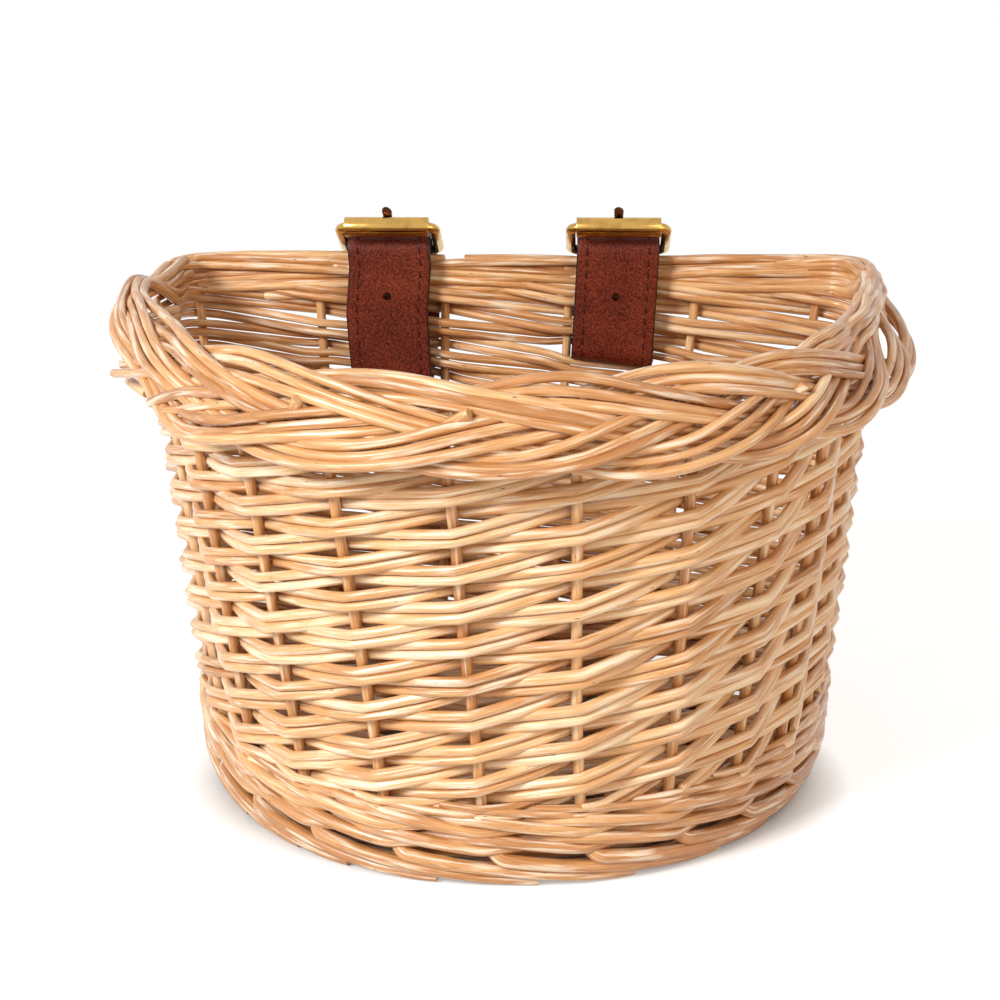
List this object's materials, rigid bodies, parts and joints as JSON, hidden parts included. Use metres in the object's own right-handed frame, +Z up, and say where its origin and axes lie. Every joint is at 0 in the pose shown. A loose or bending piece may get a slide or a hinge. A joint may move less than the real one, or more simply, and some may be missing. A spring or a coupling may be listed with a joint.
{
  "type": "bicycle basket",
  "caption": "Small D-shaped wicker handlebar basket with a plaited rim, a flat back and leather buckle straps that loop round a handlebar.",
  "frame": {"origin": "on the ground, under the middle of the whole part's box", "axes": "+X to the right seen from the front, +Y towards the flat back and the handlebar, +Z up"},
  "size_m": [0.2368, 0.215, 0.1577],
  "materials": {
    "willow": "smooth buff willow, semi matt",
    "leather": "pebbled chestnut leather with dark edges",
    "brass": "polished"
  },
  "bodies": {
    "root": {"stake_01": "willow", "stake_02": "willow", "stake_03": "willow", "stake_04": "willow", "stake_05": "willow", "stake_06": "willow", "stake_07": "willow", "stake_08": "willow", "stake_09": "willow", "stake_10": "willow", "stake_11": "willow", "stake_12": "willow", "stake_13": "willow", "stake_14": "willow", "stake_15": "willow", "stake_16": "willow", "stake_17": "willow", "stake_18": "willow", "stake_19": "willow", "stake_20": "willow", "weaver_01": "willow", "weaver_02": "willow", "weaver_03": "willow", "weaver_04": "willow", "weaver_05": "willow", "weaver_06": "willow", "weaver_07": "willow", "weaver_08": "willow", "weaver_09": "willow", "weaver_10": "willow", "weaver_11": "willow", "weaver_12": "willow", "weaver_13": "willow", "weaver_14": "willow", "weaver_15": "willow", "weaver_16": "willow", "weaver_17": "willow", "weaver_18": "willow", "weaver_19": "willow", "weaver_20": "willow", "wale_a": "willow", "wale_b": "willow", "foot_border_a": "willow", "foot_border_b": "willow", "base_mat": "willow", "base_sticks": "willow", "plait_a": "willow", "plait_b": "willow", "plait_c": "willow", "back_border_a": "willow", "back_border_b": "willow", "strap_left": "leather", "strap_right": "leather"},
    "left_frame": {"buckle_frame_left": "brass"},
    "left_prong": {"prong_left": "brass"},
    "left_roller": {"roller_left": "brass"},
    "right_frame": {"buckle_frame_right": "brass"},
    "right_prong": {"prong_right": "brass"},
    "right_roller": {"roller_right": "brass"}
  },
  "joints": [
    {"name": "left_frame_hinge", "type": "hinge", "parent": "root", "child": "left_frame", "pos_m": [-0.03901, 0.0811, 0.14156], "axis": [-1, 0, 0], "range_deg": [0, 3]},
    {"name": "left_prong_hinge", "type": "hinge", "parent": "left_frame", "child": "left_prong", "pos_m": [-0.03901, 0.0811, 0.14156], "axis": [-1, 0, 0], "range_deg": [0, 4]},
    {"name": "left_roller_spin", "type": "hinge", "parent": "left_frame", "child": "left_roller", "pos_m": [-0.03901, 0.06141, 0.15203], "axis": [1, 0, 0], "continuous": true},
    {"name": "right_frame_hinge", "type": "hinge", "parent": "root", "child": "right_frame", "pos_m": [0.03099, 0.0811, 0.14156], "axis": [-1, 0, 0], "range_deg": [0, 3]},
    {"name": "right_prong_hinge", "type": "hinge", "parent": "right_frame", "child": "right_prong", "pos_m": [0.03099, 0.0811, 0.14156], "axis": [-1, 0, 0], "range_deg": [0, 4]},
    {"name": "right_roller_spin", "type": "hinge", "parent": "right_frame", "child": "right_roller", "pos_m": [0.03099, 0.06141, 0.15203], "axis": [1, 0, 0], "continuous": true}
  ]
}
